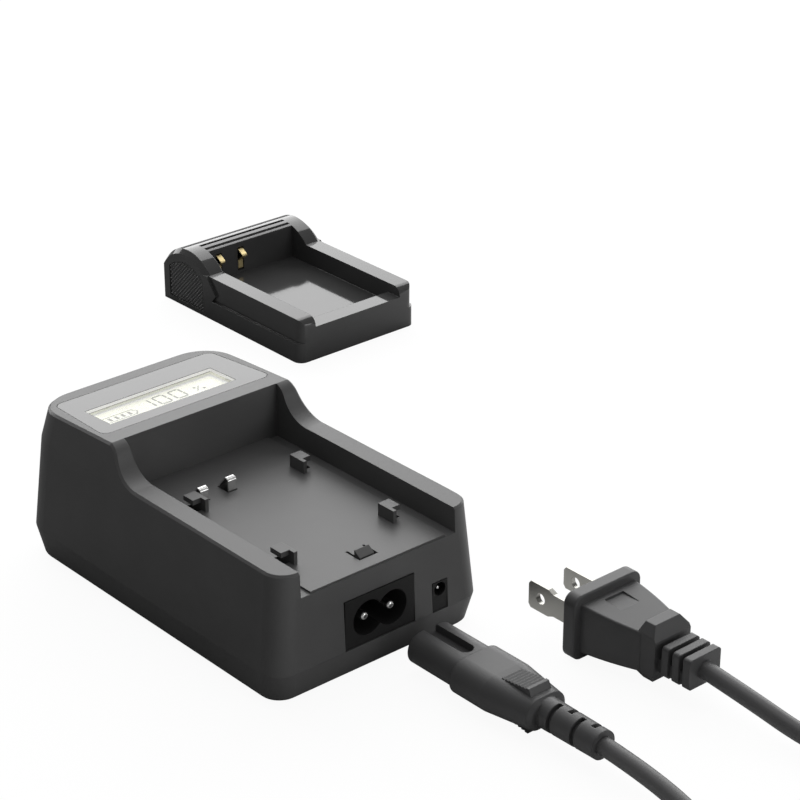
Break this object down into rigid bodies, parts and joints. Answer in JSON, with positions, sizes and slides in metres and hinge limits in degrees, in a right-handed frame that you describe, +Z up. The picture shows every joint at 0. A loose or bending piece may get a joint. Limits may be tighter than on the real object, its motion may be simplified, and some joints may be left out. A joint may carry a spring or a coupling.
{
  "type": "camera battery charger",
  "caption": "Camera battery charger: display base with figure-8 mains inlet, a removable battery cradle beside it and a detachable mains lead.",
  "frame": {"origin": "middle of the base's footprint, on the surface that its rubber feet stand on", "axes": "+X across the base, +Y from the inlet end to the display end, +Z up"},
  "size_m": [0.1803, 0.4207, 0.0449],
  "materials": {
    "case_plastic": "fine satin, dark grey to black",
    "plate_plastic": "smooth satin black",
    "lead_plastic": "satin black, moulded",
    "inlet_plastic": "matt black",
    "window_clear": "clear",
    "display_face": "grey liquid crystal",
    "board_green": "solder resist",
    "ferrite": "dark grey, ground",
    "winding_tape": "yellow tape",
    "can_sleeve": "shrink sleeve",
    "fuse_case": "brown",
    "spring_metal": "bright nickel",
    "gold_metal": "gold plated",
    "blade_metal": "plated brass, grey",
    "screw_steel": "zinc plated",
    "foot_rubber": "matt black",
    "cord_rubber": "satin black vinyl"
  },
  "bodies": {
    "charger": {"base_upper_shell": "case_plastic", "base_lower_shell": "case_plastic", "display_plate": "plate_plastic", "display_window": "window_clear", "display_module": "display_face", "main_board": "board_green", "mains_inlet": "inlet_plastic", "mains_inlet_pins": "spring_metal", "dc_jack": "inlet_plastic", "dc_jack_pin": "spring_metal", "contact_carrier": "inlet_plastic", "transformer_core": "ferrite", "transformer_winding": "winding_tape", "reservoir_capacitor": "can_sleeve", "output_capacitor": "can_sleeve", "fuse": "fuse_case", "case_screws": "screw_steel", "rubber_feet": "foot_rubber", "cradle_body": "plate_plastic", "cradle_cover": "plate_plastic", "cradle_cover_screws": "screw_steel", "cradle_pads": "spring_metal", "cradle_board": "board_green", "mains_connector": "lead_plastic", "connector_sleeves": "spring_metal", "mains_plug": "lead_plastic", "plug_blade_wide": "blade_metal", "plug_blade_narrow": "blade_metal", "cord_connector_end": "cord_rubber", "cord_plug_end": "cord_rubber", "cord_coil": "cord_rubber"},
    "base_contact_left_body": {"base_contact_left": "spring_metal"},
    "base_contact_right_body": {"base_contact_right": "spring_metal"},
    "cradle_contact_left_body": {"cradle_contact_left": "gold_metal"},
    "cradle_contact_right_body": {"cradle_contact_right": "gold_metal"}
  },
  "joints": [
    {"name": "base_contact_left_press", "type": "slide", "parent": "charger", "child": "base_contact_left_body", "axis": [0, 0, -1], "range_m": [0, 0.0012], "stiffness_N_per_m": 300, "springref_m": -0.0005},
    {"name": "base_contact_right_press", "type": "slide", "parent": "charger", "child": "base_contact_right_body", "axis": [0, 0, -1], "range_m": [0, 0.0012], "stiffness_N_per_m": 300, "springref_m": -0.0005},
    {"name": "cradle_contact_left_press", "type": "slide", "parent": "charger", "child": "cradle_contact_left_body", "axis": [0, 1, 0], "range_m": [0, 0.001], "stiffness_N_per_m": 300, "springref_m": -0.0005},
    {"name": "cradle_contact_right_press", "type": "slide", "parent": "charger", "child": "cradle_contact_right_body", "axis": [0, 1, 0], "range_m": [0, 0.001], "stiffness_N_per_m": 300, "springref_m": -0.0005}
  ]
}
